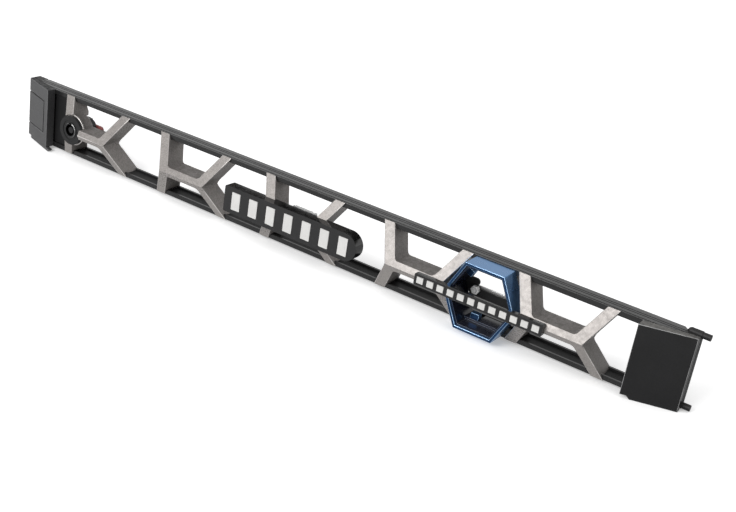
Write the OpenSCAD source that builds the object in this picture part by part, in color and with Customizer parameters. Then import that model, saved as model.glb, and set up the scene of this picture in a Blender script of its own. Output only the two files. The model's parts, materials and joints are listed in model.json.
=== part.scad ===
// Front bezel for a rack server one unit high: two rails joined by five open
// honeycomb castings, an end cap at each side, a release latch, a key lock,
// a badge, a blue hexagon insert and a plain accent bar.
// Units are millimetres. X runs along the bezel, Y runs from front to rear
// and Z is up. The origin is under the middle of the bezel, on the plane
// that the two cap feet stand on.

/* [Rails] */
// Height over both rails
rail_h = 40; // [39:0.5:42]
// Height of the front edge of one rail
rail_t = 2.9; // [2.4:0.1:3.4]
// Depth of a rail, front to rear
rail_d = 11.4; // [11:0.1:13]
// Thickness of the rail's web between its front bead and rear lip
rail_web = 2.2; // [1.6:0.1:2.3]
// Depth of the front bead
bead_d = 1.2; // [0.8:0.1:2]
// Depth of the rear lip
lip_d = 1.5; // [1:0.1:2]
// How far the rear lip stands higher than the front bead
lip_rise = 0.6; // [0.2:0.1:1]
// Width of each decorative groove on the outer face
groove_w = 0.7; // [0.4:0.1:1]
// Depth of each decorative groove
groove_d = 0.4; // [0.2:0.1:0.6]
// Places of the grooves, measured from the front edge
groove_y = [1.1, 4.6, 6.6];

/* [Honeycomb castings] */
// Distance from one casting to the next
cell_pitch = 85.1; // [82:0.1:90]
// Width of one casting along the rails
cell_w = 57.9; // [54:0.1:62]
// Width of a strut, measured along the rails
strut_w = 7; // [5:0.1:9]
// Sideways run of a strut over half the height
strut_lean = 11.2; // [9:0.1:13]
// Height of the level arm
arm_h = 6.2; // [4:0.1:8]
// How far the ridge stands in front of the rails
ridge_out = 12; // [9:0.1:12]
// Thickness of a strut's tip where it laps the rail's front
tip_t = 0.35; // [0.3:0.05:0.8]
// Depth of the casting, front to rear
cast_d = 13.9; // [11:0.1:14]
// Fillet radius at both ends of the arm
corner_r = 3; // [1:0.5:4]
// Rounding at the rear of each outer node
node_r = 7.5; // [3:0.5:8]

/* [End caps] */
// Length of an end cap
cap_l = 28; // [26:0.5:32]
// Open space between a cap and the nearest casting
side_gap = 11.7; // [10:0.1:14]
// How far the inner edge of a cap stands in front of the rails
cap_out = 6.6; // [5:0.1:8]
// How far the outer end of a cap's face lies behind the rails' front
cap_back = 2.8; // [2:0.1:3.2]
// How far a cap's rear edge lies behind the rails' front at its outer end
cap_seam = 6.3; // [6:0.1:6.4]
// Thickness of a cap's face
cap_face = 2; // [1.6:0.1:2.2]
// Thickness of a cap's edge walls
cap_wall = 1.8; // [1.4:0.1:2.2]
// Height of the foot under each cap
foot_h = 1.8; // [1.8:0.1:2.4]
// Depth of the foot
foot_d = 3.4; // [2.6:0.1:3.4]
// Distance from the foot's short side to the cap's corner
foot_inset = 5; // [3:0.5:8]
// How far the left foot runs past the inner edge of its cap
foot_past = 3; // [0:0.5:4]
// Length of the end post between the rails' ends
post_l = 8; // [7:0.5:9]
// Thickness of the rear walls
rear_wall = 1; // [0.9:0.1:1.1]

/* [Locating pegs] */
// Radius of a peg
peg_r = 1.7; // [1.4:0.1:1.7]
// Radius of a peg's root on the end post
peg_root_r = 2; // [1.8:0.1:2]
// Length of a peg beyond the bezel's end
peg_out = 4.4; // [3:0.1:6]
// Distance of the upper peg's axis above the rail's outer face
peg_rise = 0.1; // [0:0.1:0.1]
// Distance of a peg's axis behind the rails' front
peg_y = 8.7; // [8.4:0.1:9]

/* [Release latch] */
// Space above and below the release button, to the rails' outer faces
button_in = 9.2; // [9:0.1:11]
// Length of the release button
button_l = 22.6; // [21:0.2:23]
// Seam round the button
button_gap = 0.5; // [0.3:0.1:0.6]
// Thickness of the button's face
button_t = 2.2; // [1.8:0.1:2.4]
// Travel of the button, and of the latch that it drives
latch_travel = 2.6; // [2:0.1:2.6]
// How far the latch fingers reach beyond the bezel's end
finger_out = 2.5; // [2:0.1:3]
// Height of a latch finger
finger_h = 4; // [3:0.5:5]
// Distance of a finger's middle from the latch plate's edge
finger_in = 3; // [3:0.25:4]
// Thickness of the latch plate
latch_t = 1.5; // [1.2:0.1:1.5]
// Space above and below the latch plate, to the rails' outer faces
latch_in = 8; // [8:0.25:8.5]
// Outer radius of the latch spring
spring_r = 1.8; // [1.6:0.1:1.9]
// Wire radius of the latch spring
wire_r = 0.25; // [0.2:0.05:0.35]
// Turns of the latch spring
spring_turns = 7; // [5:1:8]

/* [Key lock] */
// Distance of the lock's axis from the first casting's edge
lock_in = 12.9; // [12.5:0.1:13.5]
// Radius of the lock's face
lock_face_r = 9.7; // [9:0.1:10]
// How far the lock's face stands in front of the rails
lock_out = 8.3; // [7.5:0.1:9]
// Radius of the barrel housing cast into the first casting
housing_r = 9.3; // [8.6:0.1:9.5]
// Radius of the lock's body
body_r = 6.8; // [6:0.1:7.2]
// Radius of the turning core
core_r = 4.8; // [4:0.1:5.2]
// Outer radius of the ring-shaped keyway
keyway_r = 3.8; // [3.2:0.1:4]
// Radius of the pin inside the keyway
keypin_r = 2.1; // [1.6:0.1:2.4]
// Length of the locking cam, from the axis to its tip
cam_l = 12.3; // [12:0.1:12.8]
// Width of the locking cam
cam_w = 5; // [4:0.1:5.2]
// Thickness of the locking cam
cam_t = 1.6; // [1.4:0.1:1.6]

/* [Badge] */
// Length of the badge
badge_l = 97; // [90:0.5:104]
// Height of the badge
badge_h = 16.6; // [15:0.2:17]
// How far the badge's face stands in front of the rails
badge_out = 12.9; // [12.8:0.1:14]
// Depth of the badge's sides
badge_d = 7.4; // [6:0.1:7.4]
// Number of plain bars on the badge
badge_bars = 7; // [5:1:7]
// Width of a bar
badge_bar_w = 6.2; // [4:0.2:8]
// Height of a bar
badge_bar_h = 11; // [8:0.2:12]

/* [Hexagon insert] */
// Distance of the hexagon's level sides from the rails' outer faces
hex_in = 0.55; // [0.3:0.05:1]
// Width over the hexagon's two points
hex_w = 42.9; // [41:0.1:44]
// Length of a level side
hex_side = 23.3; // [22:0.1:24]
// Wall of the hexagon
hex_wall = 1.7; // [1.4:0.1:2]
// How far the hexagon's rim stands in front of the rails
hex_out = 12.8; // [12.4:0.1:13]
// Distance of the smaller hexagon, between the rails, from their outer faces
neck_in = 3.7; // [3.6:0.1:4.5]
// Depth of the smaller hexagon behind the rails' front
hex_neck_d = 7; // [5:0.1:8]

/* [Accent bar] */
// Length of the accent bar
bar_l = 78; // [74:0.5:84]
// Height of the accent bar
bar_h = 6.6; // [5:0.2:8]
// How far the bar's face stands in front of the rails
bar_out = 14.7; // [14.4:0.1:15.5]
// Depth of the bar's sides
bar_d = 3.2; // [2.6:0.1:3.6]
// Number of dashes along the bar
bar_dashes = 12; // [8:1:14]
// Width of a dash
dash_w = 4; // [2:0.2:4.4]
// Height of a dash
dash_h = 3.6; // [2:0.2:4]
// How far a dash stands in front of the bar, and a badge bar in front of the badge
inlay_out = 0.3; // [0.1:0.1:0.5]
// Depth of the pockets that hold the dashes and badge bars
pocket_d = 0.4; // [0.3:0.1:0.5]

/* [Fits] */
// Clearance between pieces that seat against each other
seat_gap = 0.1; // [0.05:0.05:0.15]
// Clearance round sliding pieces
slide_gap = 0.2; // [0.1:0.05:0.25]
// Radial clearance of turning pieces
turn_gap = 0.05; // [0.02:0.01:0.08]
// Radius of the small cover screws
screw_r = 0.75; // [0.6:0.05:0.8]
// Radius of a cover screw's head
screw_head_r = 1.4; // [1.2:0.1:1.5]

/* [Hidden] */
$fn = 64;

cells = 5;
eps = 0.01;
far = 60;
mid_z = rail_h / 2;
row_w = (cells - 1) * cell_pitch + cell_w;
body_l = row_w + 2 * (side_gap + cap_l);
half_l = body_l / 2;
cap_in = half_l - cap_l;
post_in = half_l - post_l;
lip_h = rail_t + lip_rise;
lean = strut_lean / mid_z;
arm_x = strut_w + (mid_z - arm_h / 2) * lean;
button_h = rail_h - 2 * button_in;
latch_h = rail_h - 2 * latch_in;
finger_span = latch_h - 2 * finger_in;
hex_h = rail_h - 2 * hex_in;
hex_neck_h = rail_h - 2 * neck_in;
cap_slope = (cap_out + cap_back) / cap_l;
seam_slope = cap_seam / cap_l;
front_slope = (ridge_out - tip_t) / mid_z;
front_reach = max(bar_out, badge_out) + inlay_out;
face_y = (front_reach - rail_d) / 2;
shift_x = (finger_out - peg_out) / 2;
peg_start = post_in + peg_root_r + 0.3;
rear_y = rail_d - rear_wall;
latch_back = rear_y - seat_gap;
latch_front = latch_back - latch_t;
lock_x = cell_x(0) + lock_in;
hex_x = cell_x(3) + (cell_pitch + cell_w) / 2;
bar_x = cell_x(3) + (cell_pitch + cell_w) / 2;

function cell_x(k) = k * cell_pitch - row_w / 2;
// Front face of a casting, and its rear face, at height z
function cast_front(z) = -tip_t - front_slope * (mid_z - abs(z - mid_z));
function cast_rear(z) = min(cast_front(z) + cast_d, rail_d - seat_gap);
// Front face and rear seam of a cap at distance d from its inner edge
function cap_front(d) = -cap_out + cap_slope * d;
function cap_rear(d) = seam_slope * d;

// Everything is modelled with the rails' front at Y 0 and their underside at Z 0
module place() {
    translate([shift_x, face_y, foot_h]) children();
}

// Turns a flat shape drawn as (x, z) into a solid from y0 to y1
module front_solid(y0, y1) {
    translate([0, y1, 0]) rotate([90, 0, 0]) linear_extrude(y1 - y0) children();
}

// Turns a flat shape drawn as (y, z) into a solid from x0 to x1
module side_solid(x0, x1) {
    translate([x0, 0, 0]) rotate([90, 0, 90]) linear_extrude(x1 - x0) children();
}

// A block given by its limits along each axis
module block(x, y, z) {
    translate([x[0], y[0], z[0]]) cube([x[1] - x[0], y[1] - y[0], z[1] - z[0]]);
}

// A round bar along Y
module rod_y(r, x, z, y0, y1) {
    translate([x, y1, z]) rotate([90, 0, 0]) cylinder(r = r, h = y1 - y0);
}

// A round bar along X
module rod_x(r, y, z, x0, x1) {
    translate([x0, y, z]) rotate([0, 90, 0]) cylinder(r = r, h = x1 - x0);
}

// Fills the inside corner at p between the directions toward a and b with radius r
module fillet(p, a, b, r) {
    ua = (a - p) / norm(a - p);
    ub = (b - p) / norm(b - p);
    half = acos(ua * ub) / 2;
    run = r / tan(half);
    middle = p + (ua + ub) / norm(ua + ub) * r / sin(half);
    difference() {
        polygon([p, p + ua * run, middle, p + ub * run]);
        translate(middle) circle(r);
    }
}

// ---- rails ----

// Cross-section of the lower rail: a web with a front bead and a rear lip
module rail_section(gap) {
    difference() {
        polygon([
            [-gap, 0], [rail_d + gap, 0],
            [rail_d + gap, lip_h + gap], [rail_d - lip_d - gap, lip_h + gap],
            [rail_d - lip_d - gap, rail_web + gap], [bead_d + gap, rail_web + gap],
            [bead_d + gap, rail_t + gap], [-gap, rail_t + gap]
        ]);
        for (y = groove_y) {
            if (gap == 0) translate([y, -eps]) square([groove_w, groove_d + eps]);
        }
    }
}

module rail() {
    difference() {
        intersection() {
            side_solid(-post_in, post_in) rail_section(0);
            linear_extrude(far) polygon([
                [-post_in, far], [-post_in, cap_rear(cap_l - post_l) + seat_gap],
                [-cap_in, 0], [cap_in, 0],
                [post_in, cap_rear(cap_l - post_l) + seat_gap], [post_in, far]
            ]);
        }
        for (s = [-1, 1]) {
            translate([s * post_in, 0, 0]) tongue(seat_gap);
        }
    }
}

// Tongue of an end post that enters a slot in the rail's end
module tongue(gap) {
    block([-tongue_l - gap, tongue_l + gap], [tongue_y - gap, tongue_y + tongue_w + gap],
        [tongue_z - gap, tongue_z + tongue_t + gap]);
}
tongue_l = 5;
tongue_w = 2;
tongue_y = 7.7;
tongue_t = 0.9;
tongue_z = 0.7;

module upside_down() {
    translate([0, 0, rail_h]) mirror([0, 0, 1]) children();
}

module top_rail() {
    color([0.13, 0.13, 0.14]) place() upside_down() rail();
}

module bottom_rail() {
    color([0.13, 0.13, 0.14]) place() rail();
}

// ---- honeycomb castings ----

// Front view of one casting: a leaning strut, a level arm and a mirrored strut.
// The inside corners of the arm carry fillets. grow widens the whole outline.
module cast_outline(grow) {
    g = grow;
    a = arm_h / 2 + g;
    x = arm_x + g - g * lean;
    top_l = [strut_w + g, rail_h];
    top_r = [cell_w - strut_w - g, rail_h];
    for (s = [0, 1]) {
        translate([0, s * rail_h]) mirror([0, s]) {
            fillet([x, mid_z + a], top_l, [cell_w / 2, mid_z + a], corner_r);
            fillet([cell_w - x, mid_z + a], top_r, [cell_w / 2, mid_z + a], corner_r);
        }
    }
    polygon([
        [-g, rail_h], top_l, [x, mid_z + a], [cell_w - x, mid_z + a], top_r,
        [cell_w + g, rail_h], [cell_w - strut_lean + g, mid_z], [cell_w + g, 0],
        [cell_w - strut_w - g, 0], [cell_w - x, mid_z - a], [x, mid_z - a],
        [strut_w + g, 0], [-g, 0], [strut_lean - g, mid_z]
    ]);
}

// Side view of a casting: a thick band folded forward at its ridge, cut off
// behind at the rails' rear
module cast_side(grow) {
    clip = (rail_d - seat_gap - cast_rear(mid_z)) / front_slope;
    polygon([
        [cast_front(0) - grow, 0], [cast_front(mid_z) - grow, mid_z],
        [cast_front(0) - grow, rail_h],
        [cast_rear(0), rail_h], [cast_rear(0), mid_z + clip],
        [cast_rear(mid_z), mid_z],
        [cast_rear(0), mid_z - clip], [cast_rear(0), 0]
    ]);
}

// Rounding inside the open corner of an outer node. It grows from nothing at
// the ridge to its full radius at the rear.
module node_round() {
    u = [strut_lean, mid_z] / norm([strut_lean, mid_z]);
    half = atan(1 / lean);
    run = node_r / tan(half) + 1.3;
    inside = [-0.5, 0];
    y_rear = cast_rear(mid_z + node_r);
    difference() {
        front_solid(-ridge_out, y_rear)
            polygon([inside, u * run + inside, [u[0], -u[1]] * run + inside]);
        hull() {
            front_solid(-ridge_out - 1, -ridge_out) open_corner(u, half, 0.2);
            front_solid(y_rear, y_rear + 1) open_corner(u, half, node_r);
        }
    }
}

// The free space in a corner whose tip has radius r
module open_corner(u, half, r) {
    wide = 3 * node_r;
    hull() {
        translate([r / sin(half), 0]) circle(r, $fn = 32);
        polygon([u * wide, [wide * 2, 0], [u[0], -u[1]] * wide]);
    }
}

module casting_body() {
    difference() {
        intersection() {
            union() {
                front_solid(-ridge_out, rail_d) cast_outline(0);
                translate([cell_w - strut_lean, 0, mid_z]) node_round();
                translate([strut_lean, 0, mid_z]) mirror([1, 0, 0]) node_round();
            }
            side_solid(-far, far + cell_w) cast_side(0);
        }
        for (s = [0, 1]) {
            translate([0, 0, s * rail_h]) mirror([0, 0, s])
                difference() {
                    side_solid(-far, far + cell_w) rail_section(seat_gap / 2);
                    block([-far, far + cell_w], [-far, 0], [-far, far]);
                }
        }
    }
}

// Room for one casting in a piece that seats over its ridge
module casting_room(k) {
    translate([cell_x(k), 0, 0]) {
        intersection() {
            front_solid(-far, far) cast_outline(seat_gap);
            side_solid(-far, far + cell_w) cast_side(seat_gap);
        }
        translate([cell_w - strut_lean, 0, mid_z]) node_room();
        translate([strut_lean, 0, mid_z]) mirror([1, 0, 0]) node_room();
    }
}

module node_room() {
    u = [strut_lean, mid_z] / norm([strut_lean, mid_z]);
    front_solid(-ridge_out - seat_gap, far)
        polygon([[-0.5, 0], u * 2.4, [u[0], -u[1]] * 2.4]);
}

module casting(k) {
    color([0.62, 0.6, 0.58]) place() translate([cell_x(k), 0, 0]) casting_body();
}

// The first casting carries the barrel housing of the key lock, and is
// relieved behind for the tail of the latch
module casting_1() {
    color([0.62, 0.6, 0.58]) place() difference() {
        union() {
            translate([cell_x(0), 0, 0]) casting_body();
            rod_y(housing_r, lock_x, mid_z, -lock_out + lock_flange, housing_end);
            rod_y(collar_r, lock_x, mid_z, -lock_out + lock_flange, -lock_out + collar_end);
        }
        rod_y(collar_r, lock_x, mid_z, -far, -lock_out + lock_flange);
        rod_y(body_r + turn_gap, lock_x, mid_z, -far, far);
        rod_y(nut_r + slide_gap, lock_x, mid_z, housing_end, far);
        block([cell_x(0) - 2, lock_x + cam_l], [latch_front - 2 * slide_gap - cam_step, far],
            [mid_z + tail_z - slide_gap, mid_z + tail_z + hook_h + 2 * slide_gap]);
    }
}
lock_flange = 2.2;
collar_r = lock_face_r + 0.6;
collar_end = 3.6;
housing_end = 3.2;
nut_r = 8;
cam_step = 0.5;

// ---- release latch ----

// Places on the latch, measured from the bezel's left end
tail_h = 3.4;
tail_in = 3.6;
tail_z = latch_h / 2 - tail_in;
hook_h = 6.8;
plate_in = 0.6;
plate_end = button_l - 0.2;
wedge_at = 16.4;
wedge_front = 4.5;
wedge_h = 8;
wedge_end = 20.4;
spring_z = -8;
spring_start = 12;
web_t = 2;
// The ramp between button and latch is the plane x + y = ramp
ramp = -half_l + wedge_at + wedge_front;
cam_gap = 0.6;
tail_end = lock_x - cam_w / 2 - cam_gap - latch_travel;
spring_y = latch_back - spring_r;

// A slanted face of a cap on the left side, from distance a to b from the
// left end, between offsets t0 and t1 behind the cap's face
module left_slant(a, b, t0, t1) {
    x0 = -half_l + a;
    x1 = -half_l + b;
    polygon([
        [x0, cap_front(cap_l - a) + t0], [x1, cap_front(cap_l - b) + t0],
        [x1, cap_front(cap_l - b) + t1], [x0, cap_front(cap_l - a) + t1]
    ]);
}

module release_button() {
    z0 = mid_z - button_h / 2;
    color([0.17, 0.17, 0.18]) place() union() {
        translate([0, 0, z0]) linear_extrude(button_h)
            left_slant(0, button_l, 0, button_t);
        // retaining flange behind the cap's face
        translate([0, 0, z0 - flange_out]) linear_extrude(button_h + 2 * flange_out)
            left_slant(3, button_l + flange_out, cap_face + slide_gap, cap_face + slide_gap + 1);
        // ramp that drives the latch
        translate([0, 0, mid_z - wedge_h / 2 + 0.5]) linear_extrude(wedge_h - 1)
            polygon([
                [-half_l + 6, cap_front(cap_l - 6) + 1],
                [-half_l + wedge_end, cap_front(cap_l - wedge_end) + 1],
                [ramp - slide_gap, 0],
                [ramp - slide_gap - button_reach, button_reach],
                [-half_l + 6, button_reach]
            ]);
    }
}
flange_out = 1;
button_reach = latch_back - latch_travel - 2 * seat_gap;

module latch_slide() {
    x0 = -half_l + plate_in;
    x1 = -half_l + plate_end;
    tip = -half_l - finger_out;
    color([0.66, 0.67, 0.69]) place() union() {
        difference() {
            block([x0, x1], [latch_front, latch_back], [mid_z - latch_h / 2, mid_z + latch_h / 2]);
            // window for the button's ramp, with the slanted driven edge
            translate([0, 0, mid_z - wedge_h / 2 - slide_gap]) linear_extrude(wedge_h + 2 * slide_gap)
                polygon([
                    [-half_l + 3, latch_front - 1], [ramp - latch_front + 1, latch_front - 1],
                    [ramp - latch_back - 1, latch_back + 1], [-half_l + 3, latch_back + 1]
                ]);
            // notch for the spring
            block([-half_l + spring_start, x1 + 1], [latch_front - 1, latch_back + 1],
                [mid_z + spring_z - spring_r - slide_gap, mid_z + spring_z + spring_r + slide_gap]);
        }
        // driven wedge
        translate([0, 0, mid_z - wedge_h / 2]) linear_extrude(wedge_h) polygon([
            [ramp - wedge_front, wedge_front], [-half_l + wedge_end, wedge_front],
            [-half_l + wedge_end, latch_front], [ramp - latch_front, latch_front]
        ]);
        // two fingers with sloped rear corners
        for (s = [-1, 1]) {
            translate([0, 0, mid_z + s * finger_span / 2 - finger_h / 2]) linear_extrude(finger_h)
                polygon([
                    [tip, latch_front], [x0 + 1, latch_front], [x0 + 1, latch_back],
                    [tip + 1.2, latch_back], [tip, latch_front + 0.5]
                ]);
        }
        // tail that reaches the lock's cam, with a hook at its end
        block([x1 - 1, tail_end], [latch_front, latch_back],
            [mid_z + tail_z, mid_z + tail_z + tail_h]);
        block([cell_x(0), tail_end], [latch_front, latch_back],
            [mid_z + tail_z, mid_z + tail_z + hook_h]);
    }
}

// Compression spring along X, as a round wire swept along a helix
module latch_spring() {
    x0 = -half_l + spring_start + seat_gap;
    x1 = -cap_in - web_t - seat_gap;
    steps = spring_turns * 14;
    sides = 6;
    coil_r = spring_r - wire_r;
    run = x1 - x0 - 2 * wire_r;
    rings = [for (i = [0 : steps]) let (a = 360 * spring_turns * i / steps) [
        for (j = [0 : sides - 1]) let (b = 360 * j / sides, r = coil_r + wire_r * cos(b))
            [x0 + wire_r + run * i / steps + wire_r * sin(b), r * cos(a), r * sin(a)]
    ]];
    points = [for (ring = rings) each ring];
    walls = [for (i = [0 : steps - 1]) for (j = [0 : sides - 1]) let (n = (j + 1) % sides)
        [i * sides + j, i * sides + n, (i + 1) * sides + n, (i + 1) * sides + j]];
    start = [for (j = [sides - 1 : -1 : 0]) j];
    finish = [for (j = [0 : sides - 1]) steps * sides + j];
    color([0.75, 0.75, 0.77]) place() translate([0, spring_y, mid_z + spring_z])
        polyhedron(points, concat([start], walls, [finish]));
}

// ---- left end ----

// Screw places on both caps: distance from the outer end, and from mid height
boss_in = 19;
boss_from_lip = 1.6;
boss_z = mid_z - lip_h - boss_from_lip;

module cover_boss(x, front) {
    for (s = [-1, 1]) {
        rod_y(screw_head_r, x, mid_z + s * boss_z, front, rear_y - seat_gap);
    }
}

module cover_screw(x) {
    for (s = [-1, 1]) {
        rod_y(screw_r, x, mid_z + s * boss_z, rail_d - rear_wall - 5, rail_d - 0.6);
        difference() {
            rod_y(screw_head_r, x, mid_z + s * boss_z, rail_d - 0.6, rail_d);
            rod_y(0.7, x, mid_z + s * boss_z, rail_d - 0.35, rail_d + 1);
        }
    }
}

module cover_screw_holes(x) {
    for (s = [-1, 1]) {
        rod_y(screw_r + turn_gap, x, mid_z + s * boss_z, 0, far);
        rod_y(screw_head_r + turn_gap, x, mid_z + s * boss_z, rail_d - 0.6, far);
    }
}

// Plan of a cap on the right side, from distance a to b from its inner edge
module cap_plan(a, b) {
    polygon([
        [cap_in + a, cap_front(a)], [cap_in + b, cap_front(b)],
        [cap_in + b, cap_rear(b)], [cap_in + a, cap_rear(a)]
    ]);
}

// Foot along the front of a cap on the right side, from distance a to b from
// the cap's inner edge. Its inner end slopes back by foot_h.
module cap_foot(a, b) {
    intersection() {
        translate([0, 0, -foot_h]) linear_extrude(foot_h + 1) polygon([
            [cap_in + a - 5, cap_front(a - 5)], [cap_in + b, cap_front(b)],
            [cap_in + b, cap_front(b) + foot_d],
            [cap_in + a - 5, cap_front(a - 5) + foot_d]
        ]);
        front_solid(-far, far) polygon([
            [cap_in + a, -foot_h], [cap_in + b, -foot_h], [cap_in + b, 1],
            [cap_in + max(a, 0), 1], [cap_in + max(a, 0), 0], [cap_in + a - foot_h, 0]
        ]);
    }
}

// Hollow cap on the right side, open to the rear. foot gives the foot's reach
// from the inner edge.
module cap_shell(foot) {
    difference() {
        union() {
            linear_extrude(rail_h) cap_plan(0, cap_l);
            cap_foot(foot[0], foot[1]);
        }
        translate([0, 0, cap_wall]) linear_extrude(rail_h - 2 * cap_wall) polygon([
            [cap_in + cap_wall, cap_front(cap_wall) + cap_face],
            [half_l - cap_wall, cap_front(cap_l - cap_wall) + cap_face],
            [half_l - cap_wall, far], [cap_in + cap_wall, far]
        ]);
    }
    cover_boss(half_l - boss_in, cap_front(cap_l - boss_in) + 1);
}

module left_cover() {
    z0 = mid_z - button_h / 2 - button_gap;
    color([0.16, 0.16, 0.17]) place() difference() {
        mirror([1, 0, 0]) cap_shell([-foot_past, cap_l - foot_inset + 1]);
        // window for the button, open at the bezel's end
        block([-half_l - 1, -half_l + button_l + button_gap], [-far, far],
            [z0, z0 + button_h + 2 * button_gap]);
        mirror([1, 0, 0]) cover_screw_pilot(half_l - boss_in);
    }
}

module cover_screw_pilot(x) {
    for (s = [-1, 1]) {
        rod_y(screw_r + turn_gap, x, mid_z + s * boss_z, rail_d - rear_wall - 5.5, far);
    }
}

// End post on the right side, shaped to the cap's seam, with tongues for the rails
module end_post() {
    difference() {
        linear_extrude(rail_h) polygon([
            [post_in, cap_rear(cap_l - post_l) + seat_gap], [half_l, cap_rear(cap_l) + seat_gap],
            [half_l, rail_d], [post_in, rail_d]
        ]);
        // weight-saving pocket in the post's inner face
        block([post_in - 1, half_l - 2], [cap_seam + 2, rear_y], [lip_h + 2, rail_h - lip_h - 2]);
    }
    for (s = [0, 1]) {
        translate([0, 0, s * rail_h]) mirror([0, 0, s])
            block([post_in - tongue_l, post_in + 1], [tongue_y, tongue_y + tongue_w],
                [tongue_z, tongue_z + tongue_t]);
    }
}

// Rear wall between the rails' lips, from the post to x
module rear_panel(x) {
    block([x, post_in + 1], [rear_y, rail_d], [lip_h + seat_gap, rail_h - lip_h - seat_gap]);
}

module left_base() {
    web_x = -cap_in;
    color([0.09, 0.09, 0.1]) place() difference() {
        union() {
            mirror([1, 0, 0]) end_post();
            mirror([1, 0, 0]) rear_panel(cap_in - side_gap + 1.5);
            // web at the cap's inner edge
            block([web_x - web_t, web_x], [fill_y, rail_d - eps],
                [lip_h + seat_gap, rail_h - lip_h - seat_gap]);
            // filler plate between the cap and the first casting
            difference() {
                block([web_x - web_t, lock_x], [fill_y, fill_y + fill_t],
                    [rail_t + seat_gap, rail_h - rail_t - seat_gap]);
                translate([cell_x(0), 0, 0]) front_solid(-far, far) polygon([
                    [-slide_gap, rail_h], [strut_lean - slide_gap, mid_z],
                    [-slide_gap, 0], [far, 0], [far, rail_h]
                ]);
                rod_y(housing_r + slide_gap, lock_x, mid_z, -far, far);
            }
            // guide ribs above and below the latch plate
            for (s = [-1, 1]) {
                z = mid_z + s * (latch_h / 2 + slide_gap + guide_t / 2);
                block([-post_in - 1, web_x], [latch_front - 1.5, rail_d - eps],
                    [z - guide_t / 2, z + guide_t / 2]);
            }
            // pin inside the spring
            rod_x(spring_r - 2 * wire_r - slide_gap, spring_y, mid_z + spring_z,
                web_x - web_t - 5, web_x - 1);
        }
        // way through the post for the latch plate and its fingers
        block([-half_l - 1, -post_in + 1], [latch_front - slide_gap, rear_y],
            [mid_z - latch_h / 2 - slide_gap, mid_z + latch_h / 2 + slide_gap]);
        // room for the pressed button
        block([-half_l - 1, -post_in + 1], [0, latch_front],
            [mid_z - button_h / 2 - flange_out - button_gap,
             mid_z + button_h / 2 + flange_out + button_gap]);
        // way through the web for the tail
        block([web_x - web_t - 1, web_x + 1], [latch_front - slide_gap, latch_back + seat_gap],
            [mid_z + tail_z - slide_gap, mid_z + tail_z + tail_h + slide_gap]);
        // window in the rear wall that shows the latch
        block([-half_l + 6, -half_l + 14], [rear_y - eps, far], [mid_z - 3, mid_z + 3]);
        mirror([1, 0, 0]) cover_screw_holes(half_l - boss_in);
    }
}
fill_y = 1.5;
fill_t = 2;
guide_t = 1.2;

module left_cover_screws() {
    color([0.5, 0.5, 0.52]) place() mirror([1, 0, 0]) cover_screw(half_l - boss_in);
}

// ---- key lock ----

module lock_body() {
    color([0.07, 0.07, 0.08]) place() difference() {
        union() {
            rod_y(lock_face_r, lock_x, mid_z, -lock_out, -lock_out + lock_flange);
            rod_y(body_r, lock_x, mid_z, -lock_out, body_end);
        }
        rod_y(core_r + turn_gap, lock_x, mid_z, -far, far);
        // shallow dished ring round the core
        difference() {
            rod_y(body_r, lock_x, mid_z, -lock_out - 1, -lock_out + 0.3);
            rod_y(core_r + 0.6, lock_x, mid_z, -lock_out - 1, far);
        }
    }
}
body_end = 8;

module lock_nut() {
    color([0.1, 0.1, 0.11]) place() difference() {
        translate([lock_x, nut_end, mid_z]) rotate([90, 0, 0])
            cylinder(r = nut_r, h = nut_end - housing_end, $fn = 6);
        rod_y(body_r + turn_gap, lock_x, mid_z, -far, far);
    }
}
nut_end = 7.2;

// Turning core with a ring-shaped keyway round a middle pin and a square tang
// behind that carries the cam
module lock_core() {
    color([0.72, 0.73, 0.75]) place() difference() {
        union() {
            rod_y(core_r, lock_x, mid_z, -lock_out - core_out, body_end + turn_gap);
            block([lock_x - tang / 2, lock_x + tang / 2], [body_end - 1, cam_y + cam_t],
                [mid_z - tang / 2, mid_z + tang / 2]);
        }
        difference() {
            union() {
                rod_y(keyway_r, lock_x, mid_z, -far, -lock_out + keyway_d);
                block([lock_x - 0.7, lock_x + 0.7], [-far, -lock_out + keyway_d],
                    [mid_z, mid_z + core_r - 0.2]);
            }
            rod_y(keypin_r, lock_x, mid_z, -far, far);
        }
        rod_y(keypin_r, lock_x, mid_z, -far, -lock_out + 0.5);
        rod_y(cam_screw_r + turn_gap, lock_x, mid_z, body_end - 4, far);
    }
}
core_out = 0.4;
keyway_d = 5;
tang = 5.2;
cam_y = body_end + 0.3;
cam_screw_r = 1.3;

module lock_cam() {
    hub_r = tang * 0.72 + 1.4;
    color([0.75, 0.25, 0.22]) place() difference() {
        front_solid(cam_y, cam_y + cam_t) {
            translate([lock_x, mid_z]) circle(hub_r);
            translate([lock_x, mid_z - cam_w / 2]) square([cam_l - cam_w / 2, cam_w]);
            translate([lock_x + cam_l - cam_w / 2, mid_z]) circle(cam_w / 2);
        }
        block([lock_x - tang / 2 - turn_gap, lock_x + tang / 2 + turn_gap], [0, far],
            [mid_z - tang / 2 - turn_gap, mid_z + tang / 2 + turn_gap]);
    }
}

module cam_screw() {
    color([0.6, 0.6, 0.62]) place() difference() {
        union() {
            rod_y(cam_screw_r, lock_x, mid_z, body_end - 3.5, cam_y + cam_t + 0.5);
            rod_y(tang * 0.72 + 0.2, lock_x, mid_z, cam_y + cam_t, rail_d - 0.2);
        }
        block([lock_x - 2.4, lock_x + 2.4], [rail_d - 0.8, far], [mid_z - 0.4, mid_z + 0.4]);
    }
}

// ---- badge ----

badge_x = 0;
badge_z = 20.2;
badge_back = -badge_out + badge_d;
bar_step = badge_l / (badge_bars + 0.4);

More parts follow.
